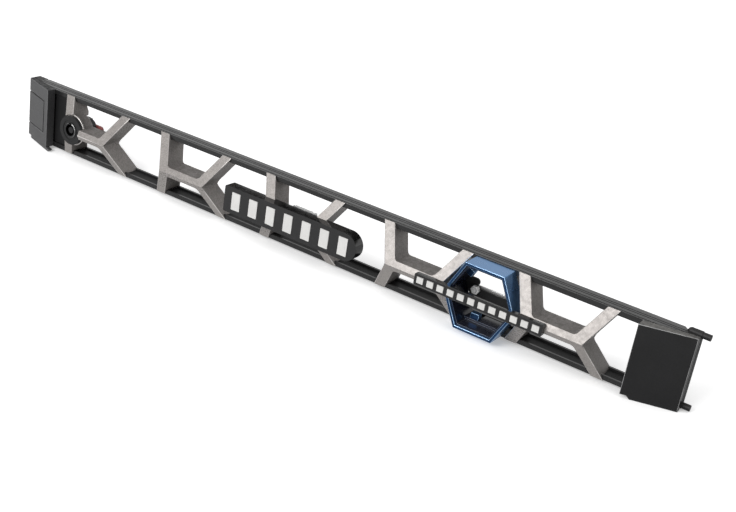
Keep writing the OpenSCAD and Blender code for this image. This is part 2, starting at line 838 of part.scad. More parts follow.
// Plain plate outline: nearly square on the left, round on the right
module badge_outline() {
    r = badge_h / 2;
    small = 1.2;
    for (s = [-1, 1]) {
        translate([badge_x - badge_l / 2 + small, badge_z + s * (r - small)]) circle(small);
    }
    translate([badge_x - badge_l / 2 + small, badge_z - r])
        square([badge_l - r - small, badge_h]);
    translate([badge_x - badge_l / 2, badge_z - r + small])
        square([small, badge_h - 2 * small]);
    translate([badge_x + badge_l / 2 - r, badge_z]) circle(r);
}

module badge_bars_outline(gap) {
    for (i = [0 : badge_bars - 1]) {
        translate([
            badge_x + (i - (badge_bars - 1) / 2) * bar_step - badge_bar_w / 2 - gap,
            badge_z - badge_bar_h / 2 - gap
        ]) square([badge_bar_w + 2 * gap, badge_bar_h + 2 * gap]);
    }
}

module badge_block() {
    color([0.05, 0.05, 0.06]) place() difference() {
        front_solid(-badge_out, badge_back) badge_outline();
        // seat over the ridge of the middle casting
        casting_room(2);
        front_solid(-far, -badge_out + pocket_d) badge_bars_outline(seat_gap / 2);
        for (x = badge_screw_x) {
            rod_y(badge_screw_r + turn_gap, x, badge_screw_z, badge_back - 3, far);
        }
    }
}

module badge_inlay() {
    color([0.82, 0.82, 0.8]) place()
        front_solid(-badge_out - inlay_out, -badge_out + pocket_d) badge_bars_outline(0);
}

// Metal angle on top of the middle casting's arm, screwed to the badge's back
badge_screw_z = mid_z + arm_h / 2 + 2.9;
strip_x0 = cell_x(2) + arm_x + corner_r + 1;
strip_x1 = cell_x(2) + cell_w - arm_x - corner_r - 1;
badge_screw_in = [0.536, 2.436];
badge_screw_x = [strip_x0 + badge_screw_in[0], strip_x1 - badge_screw_in[1]];
badge_screw_r = 0.9;
angle_t = 1.2;

module badge_bracket() {
    x0 = strip_x0;
    x1 = strip_x1;
    z0 = mid_z + arm_h / 2 + seat_gap;
    y0 = badge_back + seat_gap;
    y1 = cast_rear(mid_z + arm_h / 2);
    color([0.6, 0.6, 0.61]) place() difference() {
        union() {
            block([x0, x1], [y0, y0 + angle_t], [z0, z0 + 4.6]);
            block([x0, x1], [y0, y1], [z0, z0 + angle_t]);
            block([x0, x1], [y1 - angle_t, y1], [z0, z0 + 2.4]);
        }
        for (x = badge_screw_x) {
            rod_y(badge_screw_r + turn_gap, x, badge_screw_z, -far, far);
        }
    }
}

module badge_screws() {
    y = badge_back + seat_gap + angle_t;
    color([0.7, 0.7, 0.72]) place() for (x = badge_screw_x) {
        rod_y(badge_screw_r, x, badge_screw_z, badge_back - 2.6, y + 0.5);
        rod_y(1.5, x, badge_screw_z, y + 0.02, y + 1.2);
    }
}

// ---- hexagon insert ----

// Stretched hexagon with level sides at top and bottom, less inset all round
module hexagon(h, inset) {
    k = (hex_w - hex_side) / hex_h;
    half = h / 2 - inset;
    side = hex_side / 2 + (hex_h - h) * k / 2 - inset * (sqrt(1 + k * k) - k);
    point = side + half * k;
    polygon([
        [-side, half], [side, half], [point, 0],
        [side, -half], [-side, -half], [-point, 0]
    ]);
}

module hexagon_at(h, inset) {
    translate([hex_x, mid_z]) hexagon(h, inset);
}

// Blue frame with a narrow floor behind it and two tongues that reach inward
// through the carrier
module hex_insert() {
    color([0.16, 0.3, 0.52]) place() {
        difference() {
            front_solid(-hex_out, -seat_gap) hexagon_at(hex_h, 0);
            front_solid(-far, -seat_gap - hex_wall) hexagon_at(hex_h, hex_wall);
            front_solid(-far, far) neck_outline(hex_wall);
        }
        hex_tongues(0, tongue_end);
    }
}

// Outline of the neck that passes between the rails, less inset all round. Its
// slanted sides lie inside the blue frame.
module neck_outline(inset) {
    hexagon_at(hex_neck_h + 2 * (hex_wall + seat_gap), inset);
}

// The two tongues, grown by gap and ending behind at y1
module hex_tongues(gap, y1) {
    k = (hex_w - hex_side) / hex_h;
    z = 11;
    block([hex_x - 8 - gap, hex_x - 2.8 + gap], [tongue_start - gap, y1],
        [mid_z - hex_neck_h / 2 - 0.6, mid_z - hex_neck_h / 2 + 3.9 + gap]);
    translate([hex_x - hex_w / 2 + z * k, 0, mid_z + z]) rotate([0, atan(k), 0])
        block([1, 5.2 + gap], [tongue_start - gap, y1],
            [-2 - gap, 2 + gap]);
}
tongue_start = -1.5;
tongue_end = 2.2;

// Black carrier inside the blue frame. Its neck passes between the rails and
// its clips hook behind their front beads.
module hex_liner() {
    fit = hex_wall + seat_gap;
    floor_y = -seat_gap - fit;
    color([0.05, 0.05, 0.06]) place() difference() {
        union() {
            front_solid(-hex_out + liner_set, floor_y) hexagon_at(hex_h, fit);
            front_solid(floor_y - 1, hex_neck_d) neck_outline(fit);
            for (s = [0, 1]) {
                translate([0, 0, s * rail_h]) mirror([0, 0, s]) for (x = [1.5, 8.5]) {
                    translate([hex_x + x, 0, 0]) side_solid(-2, 2) polygon([
                        [bead_d + seat_gap, mid_z - hex_neck_h / 2 + 0.5],
                        [bead_d + seat_gap, rail_web + 0.3],
                        [bead_d + 1.6, rail_web + 0.3],
                        [bead_d + 3.6, mid_z - hex_neck_h / 2 + 0.5]
                    ]);
                }
            }
        }
        front_solid(-far, floor_y - liner_t) hexagon_at(hex_h, fit + liner_t);
        front_solid(-far, far) neck_outline(fit + liner_t);
        // slots for the tongues, open at the rear
        hex_tongues(seat_gap, far);
    }
}
liner_set = 1.2;
liner_t = 0.9;

// Black bracket behind the insert: a plate across its lower half and a
// round-ended lug above. A hexagon-headed screw clamps it to a steel strap.
module hex_bracket() {
    x0 = cell_x(3) + cell_w - strut_lean - 3;
    color([0.06, 0.06, 0.07]) place() difference() {
        union() {
            block([x0, lug_x], [lug_y, lug_y + lug_t], [mid_z - lug_down, mid_z + lug_up]);
            rod_y(lug_r, lug_x, mid_z + lug_up - lug_r, lug_y, lug_y + lug_t);
            block([plate_x0, plate_x], [lug_y, lug_y + lug_t], [plate_z0, mid_z - plate_down]);
            block([x0, x0 + 2.4], [cast_rear(mid_z + 1) + seat_gap, lug_y + lug_t],
                [mid_z - 1, mid_z + 1]);
        }
        rod_y(stud_r + turn_gap, stud_x, stud_z, -far, far);
    }
}
stud_z = mid_z - 2.6;
lug_y = hex_neck_d + seat_gap;
lug_t = 1.2;
lug_up = 3.6;
lug_down = 5.5;
plate_down = 1.7;
plate_x0 = hex_x - hex_side / 2 - 3.85;
plate_z0 = mid_z - hex_neck_h / 2 + 3.3;
lug_x = hex_x - hex_side / 2 - 0.85;
lug_r = 2.2;
plate_x = hex_x + hex_side / 2 + 3.35;
strap_t = 1;
stud_x = lug_x + 1;
stud_r = 1.2;

module hex_strap() {
    y0 = lug_y + lug_t + seat_gap;
    color([0.7, 0.7, 0.72]) place() difference() {
        block([stud_x - 4, plate_x], [y0, y0 + strap_t], [mid_z - 8, mid_z - 0.4]);
        rod_y(stud_r + turn_gap, stud_x, stud_z, -far, far);
    }
}

module hex_stud() {
    color([0.8, 0.8, 0.8]) place() {
        rod_y(stud_r, stud_x, stud_z, lug_y - 3, rail_d - 0.5);
        translate([stud_x, lug_y - 0.02, stud_z]) rotate([90, 0, 0])
            cylinder(r = 2.7, h = 2, $fn = 6);
    }
}

// ---- accent bar ----

module bar_outline() {
    r = 0.8;
    for (sx = [-1, 1]) {
        for (sz = [-1, 1]) {
            translate([bar_x + sx * (bar_l / 2 - r), mid_z + sz * (bar_h / 2 - r)]) circle(r);
        }
    }
    translate([bar_x - bar_l / 2, mid_z - bar_h / 2 + r]) square([bar_l, bar_h - 2 * r]);
    translate([bar_x - bar_l / 2 + r, mid_z - bar_h / 2]) square([bar_l - 2 * r, bar_h]);
}

module dashes_outline(gap) {
    step = bar_l / (bar_dashes + 0.2);
    for (i = [0 : bar_dashes - 1]) {
        translate([
            bar_x + (i - (bar_dashes - 1) / 2) * step - dash_w / 2 - gap,
            mid_z - dash_h / 2 - gap
        ]) square([dash_w + 2 * gap, dash_h + 2 * gap]);
    }
}

module accent_bar() {
    color([0.05, 0.05, 0.06]) place() difference() {
        front_solid(-bar_out, -bar_out + bar_d) bar_outline();
        // seats over the two ridges and over the hexagon's rim
        for (k = [3, 4]) {
            casting_room(k);
        }
        front_solid(-hex_out - seat_gap, far) hexagon_at(hex_h + 2 * seat_gap, 0);
        front_solid(-far, -bar_out + pocket_d) dashes_outline(seat_gap / 2);
    }
}

module bar_inlay() {
    color([0.82, 0.82, 0.8]) place()
        front_solid(-bar_out - inlay_out, -bar_out + pocket_d) dashes_outline(0);
}

// ---- right end ----

module right_base() {
    color([0.09, 0.09, 0.1]) place() difference() {
        union() {
            end_post();
            rear_panel(cap_in + cap_wall);
            // pegs, each on a thicker root with a round inner end
            for (z = [peg_root_r - foot_h, rail_h + peg_rise]) {
                rod_x(peg_root_r, peg_y, z, peg_start, half_l);
                translate([peg_start, peg_y, z]) sphere(peg_root_r);
                rod_x(peg_r, peg_y, z, half_l - 1, half_l + peg_out);
            }
            // stiffening ribs
            for (s = [-1, 1]) {
                block([cap_in + cap_wall, post_in + 1], [rear_y - 2.5, rail_d - eps],
                    [mid_z + s * 6 - 0.6, mid_z + s * 6 + 0.6]);
            }
        }
        cover_screw_holes(half_l - boss_in);
    }
}

module right_cover() {
    color([0.07, 0.07, 0.08]) place() difference() {
        cap_shell([foot_inset, cap_l]);
        cover_screw_pilot(half_l - boss_in);
    }
}

module right_cover_screws() {
    color([0.5, 0.5, 0.52]) place() cover_screw(half_l - boss_in);
}

top_rail();
bottom_rail();
casting_1();
casting(1);  // casting_2
casting(2);  // casting_3
casting(3);  // casting_4
casting(4);  // casting_5
left_base();
left_cover();
left_cover_screws();
release_button();
latch_slide();
latch_spring();
lock_body();
lock_nut();
lock_core();
lock_cam();
cam_screw();
badge_block();
badge_inlay();
badge_bracket();
badge_screws();
hex_insert();
hex_liner();
hex_bracket();
hex_strap();
hex_stud();
accent_bar();
bar_inlay();
right_base();
right_cover();
right_cover_screws();
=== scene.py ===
import json
import math
import bmesh
import bpy
from mathutils import Matrix, Vector

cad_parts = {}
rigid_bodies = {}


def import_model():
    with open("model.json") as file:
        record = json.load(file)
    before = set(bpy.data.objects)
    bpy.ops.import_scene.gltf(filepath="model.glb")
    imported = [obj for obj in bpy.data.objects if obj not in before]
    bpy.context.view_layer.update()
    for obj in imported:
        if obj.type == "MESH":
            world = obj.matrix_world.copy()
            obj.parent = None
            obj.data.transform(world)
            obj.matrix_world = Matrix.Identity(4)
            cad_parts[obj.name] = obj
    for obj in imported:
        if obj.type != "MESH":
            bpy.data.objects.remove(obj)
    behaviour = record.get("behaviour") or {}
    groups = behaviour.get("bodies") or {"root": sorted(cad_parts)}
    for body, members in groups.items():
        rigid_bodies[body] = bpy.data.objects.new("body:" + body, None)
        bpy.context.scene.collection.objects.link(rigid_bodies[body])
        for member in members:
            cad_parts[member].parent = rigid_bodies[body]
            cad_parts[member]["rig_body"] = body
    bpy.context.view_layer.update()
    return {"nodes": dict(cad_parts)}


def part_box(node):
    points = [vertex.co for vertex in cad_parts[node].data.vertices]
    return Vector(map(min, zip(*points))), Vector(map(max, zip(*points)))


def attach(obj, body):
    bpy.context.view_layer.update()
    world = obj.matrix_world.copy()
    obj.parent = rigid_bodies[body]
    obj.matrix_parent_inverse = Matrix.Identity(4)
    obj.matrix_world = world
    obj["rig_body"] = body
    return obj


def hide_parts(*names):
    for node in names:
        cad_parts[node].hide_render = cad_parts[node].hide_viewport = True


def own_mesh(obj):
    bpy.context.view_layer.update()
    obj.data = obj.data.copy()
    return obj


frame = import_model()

# ---- camera ----
# A longer lens from the right, in front of and above the bezel, rolled a little so that
# the bezel runs down across the frame. The picture is 736 by 512.
turn, rise, roll = math.radians(30.615), math.radians(23.357), math.radians(-9.326)
ahead = Vector((-math.sin(turn) * math.cos(rise), math.cos(turn) * math.cos(rise),
                -math.sin(rise)))
level = Vector((math.cos(turn), math.sin(turn), 0.0))
below = ahead.cross(level)
across = level * math.cos(roll) + below * math.sin(roll)
up = level * math.sin(roll) - below * math.cos(roll)
camera_data = bpy.data.cameras.new("camera")
camera_data.lens = 55.553
camera_data.sensor_width = 36.0
camera_data.clip_start = 0.01
camera = bpy.data.objects.new("camera", camera_data)
place = Matrix((across, up, -ahead)).transposed().to_4x4()
place.translation = (0.35048, -0.50895, 0.27242)
camera.matrix_world = place
bpy.context.scene.collection.objects.link(camera)
bpy.context.scene.camera = camera

# ---- top and bottom rails ----
# Two aluminium extrusions in satin black powder coat. Lengthwise grooves run along
# their outer faces, and the die leaves faint drawn lines on every face.


def socket(group, name, way, kind, value=None, low=None, high=None):
    """Adds one named socket to a node group."""
    made = group.interface.new_socket(name=name, in_out=way, socket_type=kind)
    if value is not None:
        made.default_value = value
    if low is not None:
        made.min_value, made.max_value = low, high
    return made


def noise(tree, coordinates, scale, detail, rough, stretch=(1.0, 1.0, 1.0)):
    """Noise on the coordinates, stretched along the axes. The scale may be a socket."""
    mapping = tree.nodes.new("ShaderNodeMapping")
    mapping.inputs["Scale"].default_value = stretch
    tree.links.new(coordinates, mapping.inputs["Vector"])
    texture = tree.nodes.new("ShaderNodeTexNoise")
    texture.inputs["Detail"].default_value = detail
    texture.inputs["Roughness"].default_value = rough
    if isinstance(scale, float):
        texture.inputs["Scale"].default_value = scale
    else:
        tree.links.new(scale, texture.inputs["Scale"])
    tree.links.new(mapping.outputs["Vector"], texture.inputs["Vector"])
    return texture.outputs["Fac"]


def mix(tree, factor, first, second):
    """Mixes two colours by a factor, all three of them sockets."""
    node = tree.nodes.new("ShaderNodeMix")
    node.data_type = "RGBA"
    # The node keeps the sockets of every data type. These are the ones for colour.
    factor_in, first_in, second_in, colour_out = 0, 6, 7, 2
    for index, value in ((factor_in, factor), (first_in, first), (second_in, second)):
        tree.links.new(value, node.inputs[index])
    return node.outputs[colour_out]


def ranged(tree, value, from_low, from_high, to_low, to_high):
    """Maps a value from one range to another and holds it there."""
    node = tree.nodes.new("ShaderNodeMapRange")
    node.inputs["From Min"].default_value = from_low
    node.inputs["From Max"].default_value = from_high
    node.inputs["To Min"].default_value = to_low
    node.inputs["To Max"].default_value = to_high
    tree.links.new(value, node.inputs["Value"])
    return node.outputs["Result"]


def maths(tree, operation, first, second):
    """One Math node on sockets or plain values."""
    node = tree.nodes.new("ShaderNodeMath")
    node.operation = operation
    for index, value in enumerate((first, second)):
        if isinstance(value, (int, float)):
            node.inputs[index].default_value = value
        else:
            tree.links.new(value, node.inputs[index])
    return node.outputs[0]


# The surface group: fine grain, soft blotches, drawn lines, dust on faces that look up, painted
# shade in the crevices, and a painted edge line on the bevels, which is a painted highlight on
# most materials and a painted shadow on the button. The colour on the upward faces is real dust
# at small amounts; on the castings it is painted shade, on the right cap a painted highlight,
# and on the grey cap it darkens the top. Lengths are in metres.
surface = bpy.data.node_groups.new("surface_marks_and_painted_light", "ShaderNodeTree")
socket(surface, "Colour", "INPUT", "NodeSocketColor", (0.1, 0.1, 0.1, 1.0))
socket(surface, "Painted Edge Colour", "INPUT", "NodeSocketColor", (0.3, 0.3, 0.3, 1.0))
socket(surface, "Dust And Top Shade Colour", "INPUT", "NodeSocketColor", (0.45, 0.44, 0.42, 1.0))
socket(surface, "Painted Edge Amount", "INPUT", "NodeSocketFloat", 0.5, 0.0, 1.0)
socket(surface, "Grain Scale", "INPUT", "NodeSocketFloat", 2500.0, 0.0, 20000.0)
socket(surface, "Grain Amount", "INPUT", "NodeSocketFloat", 0.1, 0.0, 1.0)
socket(surface, "Line Amount", "INPUT", "NodeSocketFloat", 0.0, 0.0, 1.0)
socket(surface, "Dust And Top Shade Amount", "INPUT", "NodeSocketFloat", 0.1, 0.0, 1.0)
socket(surface, "Roughness", "INPUT", "NodeSocketFloat", 0.4, 0.0, 1.0)
socket(surface, "Flake Amount", "INPUT", "NodeSocketFloat", 0.0, 0.0, 1.0)
socket(surface, "Crevice Depth", "INPUT", "NodeSocketFloat", 0.006, 0.0, 0.05)
socket(surface, "Crevice Shade Amount", "INPUT", "NodeSocketFloat", 0.3, 0.0, 1.0)
socket(surface, "Metal", "INPUT", "NodeSocketFloat", 0.0, 0.0, 1.0)
socket(surface, "Painted Edge Metal", "INPUT", "NodeSocketFloat", 0.0, 0.0, 1.0)
socket(surface, "Base Color", "OUTPUT", "NodeSocketColor")
socket(surface, "Roughness", "OUTPUT", "NodeSocketFloat")
socket(surface, "Metallic", "OUTPUT", "NodeSocketFloat")
socket(surface, "Height", "OUTPUT", "NodeSocketFloat")
given = surface.nodes.new("NodeGroupInput").outputs
result = surface.nodes.new("NodeGroupOutput").inputs
position = surface.nodes.new("ShaderNodeTexCoord").outputs["Object"]

# Patterns on the surface. The lines run along X.
grain = noise(surface, position, given["Grain Scale"], 2.0, 0.6)
blotch = noise(surface, position, 45.0, 3.0, 0.55)
lines = noise(surface, position, 900.0, 2.0, 0.7, (0.012, 1.0, 1.0))
uneven = ranged(surface, blotch, 0.3, 0.7, -0.05, 0.05)
flakes = surface.nodes.new("ShaderNodeTexVoronoi")
flakes.inputs["Scale"].default_value = 1900.0
surface.links.new(position, flakes.inputs["Vector"])
flake_tone = surface.nodes.new("ShaderNodeSeparateXYZ")
surface.links.new(flakes.outputs["Color"], flake_tone.inputs[0])
glint = ranged(surface, flake_tone.outputs["X"], 0.0, 1.0, -1.0, 1.0)
glint = maths(surface, "MULTIPLY", glint, given["Flake Amount"])

# Painted edge line on the bevels, never quite even: a painted highlight, and a painted shadow
# line where the edge colour is dark
edge_mark = surface.nodes.new("ShaderNodeAttribute")
edge_mark.attribute_name = "edge"
painted_edge = ranged(surface, noise(surface, position, 160.0, 3.0, 0.6), 0.38, 0.6, 0.6, 1.0)
painted_edge = maths(surface, "MULTIPLY", edge_mark.outputs["Fac"], painted_edge)
painted_edge = maths(surface, "MULTIPLY", painted_edge, given["Painted Edge Amount"])

# Colour on what looks up, thicker in some spots than in others: real dust at small amounts,
# painted shade on the castings' upward faces, a painted highlight on the right cap's top, and a
# darker top on the grey cap
upward = surface.nodes.new("ShaderNodeSeparateXYZ")
surface.links.new(surface.nodes.new("ShaderNodeNewGeometry").outputs["Normal"], upward.inputs[0])
dust_and_top_shade = ranged(surface, upward.outputs["Z"], 0.2, 1.0, 0.0, 1.0)
dust_and_top_shade = maths(surface, "MULTIPLY", dust_and_top_shade, given["Dust And Top Shade Amount"])
top_patches = ranged(surface, noise(surface, position, 420.0, 4.0, 0.7), 0.4, 0.75, 0.25, 1.0)
dust_and_top_shade = maths(surface, "MULTIPLY", dust_and_top_shade, top_patches)

# Painted shade where other parts of the same piece stand close
crevice_occlusion = surface.nodes.new("ShaderNodeAmbientOcclusion")
crevice_occlusion.samples = 6
crevice_occlusion.only_local = True
surface.links.new(given["Crevice Depth"], crevice_occlusion.inputs["Distance"])
painted_crevice_shade = maths(surface, "SUBTRACT", 1.0, crevice_occlusion.outputs["AO"])
painted_crevice_shade = maths(surface, "MULTIPLY", painted_crevice_shade, given["Crevice Shade Amount"])

# Colour
shade = ranged(surface, grain, 0.25, 0.75, -1.0, 1.0)
shade = maths(surface, "MULTIPLY", shade, given["Grain Amount"])
streak = ranged(surface, lines, 0.3, 0.7, -1.0, 1.0)
streak = maths(surface, "MULTIPLY", streak, given["Line Amount"])
shade = maths(surface, "ADD", shade, streak)
shade = maths(surface, "ADD", shade, uneven)
shade = maths(surface, "ADD", shade, glint)
tone = surface.nodes.new("ShaderNodeHueSaturation")
surface.links.new(given["Colour"], tone.inputs["Color"])
surface.links.new(maths(surface, "ADD", shade, 1.0), tone.inputs["Value"])
with_painted_edge = mix(surface, painted_edge, tone.outputs["Color"], given["Painted Edge Colour"])
dusted_and_top_shaded = mix(surface, dust_and_top_shade, with_painted_edge, given["Dust And Top Shade Colour"])
crevice_shaded = surface.nodes.new("ShaderNodeHueSaturation")
surface.links.new(dusted_and_top_shaded, crevice_shaded.inputs["Color"])
surface.links.new(maths(surface, "SUBTRACT", 1.0, painted_crevice_shade), crevice_shaded.inputs["Value"])
surface.links.new(crevice_shaded.outputs["Color"], result["Base Color"])

# Roughness, metal and height
dull = maths(surface, "ADD", given["Roughness"], uneven)
dull = maths(surface, "ADD", dull, maths(surface, "MULTIPLY", dust_and_top_shade, 0.8))
dull = maths(surface, "ADD", dull, maths(surface, "MULTIPLY", glint, 0.4))
dull = maths(surface, "ADD", dull, maths(surface, "MULTIPLY", painted_crevice_shade, 0.5))
surface.links.new(dull, result["Roughness"])
painted_edge_metallic = maths(surface, "MULTIPLY", painted_edge, given["Painted Edge Metal"])
surface.links.new(maths(surface, "MAXIMUM", given["Metal"], painted_edge_metallic), result["Metallic"])
relief = maths(surface, "MULTIPLY", lines, given["Line Amount"])
surface.links.new(maths(surface, "ADD", grain, relief), result["Height"])


def finish(name, colour, painted_edge_colour, painted_edge_amount=0.5, grain=2500.0, grain_amount=0.08,
           line_amount=0.0, dust_and_top_shade=0.06, dust_and_top_shade_colour=(0.45, 0.44, 0.42), rough=0.4, metal=0.0,
           painted_edge_metal=0.0, coat=0.0, specular=0.5, flake=0.0, crevice_shade=0.3,
           crevice_depth=0.006, depth=0.00002, strength=0.2):
    """A material on the handled surface group. Depth and strength are the grain's bump."""
    material = bpy.data.materials.new(name)
    material.use_nodes = True
    tree = material.node_tree
    shader = tree.nodes["Principled BSDF"]
    group = tree.nodes.new("ShaderNodeGroup")
    group.node_tree = surface
    asked = {"Colour": (*colour, 1.0), "Painted Edge Colour": (*painted_edge_colour, 1.0),
             "Dust And Top Shade Colour": (*dust_and_top_shade_colour, 1.0), "Painted Edge Amount": painted_edge_amount,
             "Grain Scale": grain, "Grain Amount": grain_amount, "Line Amount": line_amount,
             "Dust And Top Shade Amount": dust_and_top_shade, "Roughness": rough, "Flake Amount": flake,
             "Crevice Depth": crevice_depth, "Crevice Shade Amount": crevice_shade, "Metal": metal,
             "Painted Edge Metal": painted_edge_metal}
    for label, value in asked.items():
        group.inputs[label].default_value = value
    bump = tree.nodes.new("ShaderNodeBump")
    bump.inputs["Distance"].default_value = depth
    bump.inputs["Strength"].default_value = strength
    tree.links.new(group.outputs["Base Color"], shader.inputs["Base Color"])
    tree.links.new(group.outputs["Roughness"], shader.inputs["Roughness"])
    tree.links.new(group.outputs["Metallic"], shader.inputs["Metallic"])
    tree.links.new(group.outputs["Height"], bump.inputs["Height"])
    tree.links.new(bump.outputs["Normal"], shader.inputs["Normal"])
    shader.inputs["Coat Weight"].default_value = coat
    shader.inputs["Coat Roughness"].default_value = 0.12
    shader.inputs["Specular IOR Level"].default_value = specular
    return material


def baked_mesh(maker, name):
    """The evaluated mesh of an object with modifiers, as a plain object of its own."""
    bpy.context.view_layer.update()
    ready = maker.evaluated_get(bpy.context.evaluated_depsgraph_get())
    mesh = bpy.data.meshes.new_from_object(ready)
    mesh.name = name
    bpy.data.objects.remove(maker)
    made = bpy.data.objects.new(name, mesh)
    bpy.context.scene.collection.objects.link(made)
    return made


def softened(mesh, name, width, steps=2, angle=28.0, clamp=True):
    """Bevels the edges that bend by more than the angle and have room for the bevel. The bevels
    that look forwards or back get the edge attribute, where the materials paint an edge
    highlight, and flat faces stay flat in the shading."""
    flat, bevelled, curved = 0, 1, 2
    planar, gentle, steep = math.radians(0.3), math.radians(1.0), math.radians(angle)
    work = bmesh.new()
    work.from_mesh(mesh)
    bmesh.ops.dissolve_limit(work, angle_limit=planar, use_dissolve_boundaries=False,
                             verts=work.verts, edges=work.edges, delimit=set())
    for face in work.faces:
        bends = [e.calc_face_angle(0.0) for e in face.edges if e.is_manifold]
        rounded = any(gentle < bend < steep for bend in bends)
        face.material_index = curved if rounded else flat
    sharp = [e for e in work.edges if e.is_manifold and e.calc_face_angle(0.0) > steep]
    room = 2.0 * width
    roomy = [e for e in sharp if e.calc_length() > room
             and all(f.calc_area() > room * e.calc_length() for f in e.link_faces)]
    for edge in sharp:
        edge.smooth = False
    for edge in roomy:
        edge.smooth = True
    bmesh.ops.bevel(work, geom=roomy, offset=width, offset_type="OFFSET", segments=steps,
                    profile=0.5, affect="EDGES", clamp_overlap=clamp, material=bevelled)
    for face in work.faces:
        face.smooth = face.material_index != flat
    work.to_mesh(mesh)
    work.free()
    # Empty material slots keep the three kinds of face apart until the mesh is baked
    while len(mesh.materials) <= curved:
        mesh.materials.append(None)
    maker = bpy.data.objects.new(name + "_maker", mesh)
    bpy.context.scene.collection.objects.link(maker)
    weight = maker.modifiers.new("shading", "WEIGHTED_NORMAL")
    weight.keep_sharp = True
    made = baked_mesh(maker, name)
    marks = made.data.attributes.new("edge", "FLOAT", "CORNER")
    outward = 0.25
    for polygon in made.data.polygons:
        if polygon.material_index == bevelled and abs(polygon.normal.y) > outward:
            for corner in polygon.loop_indices:
                marks.data[corner].value = 1.0
        polygon.material_index = 0
    made.data.materials.clear()
    return made


def dress(node, width, material, steps=2, angle=28.0, broad=(), inside=None,
          second=None, clamp=True):
    """Stands in for a CAD node with the same solid, its edges softened and finished.
    Broad lists pairs of a test and a width: edges whose two ends pass the test get that
    rounding first. Faces that pass the test inside take the second material."""
    source = frame["nodes"][node].data.copy()
    if "custom_normal" in source.attributes:
        source.attributes.remove(source.attributes["custom_normal"])
    work = bmesh.new()
    work.from_mesh(source)
    # Two faces on the same corners are a fold without thickness, and both go
    sheets = {}
    for face in work.faces:
        corners = frozenset(vert.co.to_tuple(6) for vert in face.verts)
        sheets.setdefault(corners, []).append(face)
    folded = [face for faces in sheets.values() if len(faces) > 1 for face in faces]
    bmesh.ops.delete(work, geom=folded, context="FACES")
    bmesh.ops.remove_doubles(work, verts=work.verts, dist=1e-5)
    loose = [e for e in work.edges if not e.link_faces]
    bmesh.ops.delete(work, geom=loose, context="EDGES")
    bmesh.ops.dissolve_degenerate(work, dist=1e-6, edges=work.edges)
    for test, wide in broad:
        picked = [e for e in work.edges if test(e.verts[0].co) and test(e.verts[1].co)]
        bmesh.ops.bevel(work, geom=picked, offset=wide, segments=3, profile=0.5,
                        affect="EDGES", clamp_overlap=True)
    work.to_mesh(source)
    work.free()
    source.materials.clear()
    made = softened(source, node + "_finished", width, steps, angle, clamp)
    made.data.materials.append(material)
    if inside is not None:
        made.data.materials.append(second)
        for polygon in made.data.polygons:
            polygon.material_index = 1 if inside(polygon.center, polygon.normal) else 0
    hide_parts(node)
    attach(made, frame["nodes"][node]["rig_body"])
    return made


# The coat's bevels carry a painted highlight and its crevices painted shade.
rail_coat = finish("black_powder_coat", (0.010, 0.010, 0.0105), (0.16, 0.16, 0.163),
                   painted_edge_amount=0.35, grain=1700.0, grain_amount=0.2, line_amount=0.3, dust_and_top_shade=0.04,
                   rough=0.3, strength=0.25, specular=0.42, crevice_shade=0.35, crevice_depth=0.004)
# A darker, duller copy of the coat for the faces inside the channel: painted shade there.
rail_channel_shaded = finish("rail_channel_shaded_coat", (0.009, 0.009, 0.0095), (0.05, 0.05, 0.052),
                      grain=1700.0, grain_amount=0.2, line_amount=0.3, dust_and_top_shade=0.02, rough=0.55,
                      specular=0.12)
for rail in ("top_rail", "bottom_rail"):
    low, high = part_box(rail)
    outer, facing = (high[2], -1.0) if rail == "top_rail" else (low[2], 1.0)
    near, wall = 1e-5, 0.001
    front_corner = lambda v: abs(v.y - low[1]) < near and abs(v.z - outer) < near
    rear_corner = lambda v: abs(v.y - high[1]) < near and abs(v.z - outer) < near
    in_channel = lambda c, n: n.z * facing > 0.9 and low[1] + wall < c.y < high[1] - wall
    dress(rail, 0.00012, rail_coat, angle=40.0,
          broad=((front_corner, 0.0006), (rear_corner, 0.0019)),
          inside=in_channel, second=rail_channel_shaded)

# ---- honeycomb castings ----
# Five die castings, sprayed with a warm silver metallic paint. The flakes sparkle a little. The
# sharp ridges carry a painted highlight, the crevices painted shade, and the faces that look up
# a dark painted shade.
casting_paint = finish("warm_silver_paint", (0.28, 0.262, 0.25), (0.85, 0.82, 0.8),
                       painted_edge_amount=0.9, grain=2000.0, grain_amount=0.14, dust_and_top_shade=0.55,
                       dust_and_top_shade_colour=(0.06, 0.053, 0.048), rough=0.33, metal=0.35,
                       painted_edge_metal=0.7, strength=0.3, specular=0.25, flake=0.17, crevice_shade=1.0,
                       crevice_depth=0.026)
for number in range(1, 6):
    dress("casting_%d" % number, 0.00032, casting_paint, angle=25.0,
          clamp=False)

# ---- left end ----
# A black moulded base closes the rails' ends and guides the latch. The grey cap and the
# button in it are moulded plastic with a fine spark-eroded texture.
base_plastic = finish("black_base_plastic", (0.009, 0.009, 0.0095), (0.04, 0.04, 0.04),
                      painted_edge_amount=0.3, grain=2200.0, grain_amount=0.15, rough=0.5,
                      strength=0.35, specular=0.25)
# The grey cap is darker on its faces that look up.
cover_plastic = finish("grey_cap_plastic", (0.06, 0.06, 0.0615), (0.2, 0.2, 0.203),
                       painted_edge_amount=0.6, grain=1500.0, grain_amount=0.3, dust_and_top_shade=0.8,
                       dust_and_top_shade_colour=(0.012, 0.012, 0.0125), rough=0.42, strength=0.4,
                       specular=0.3, crevice_shade=0.1)
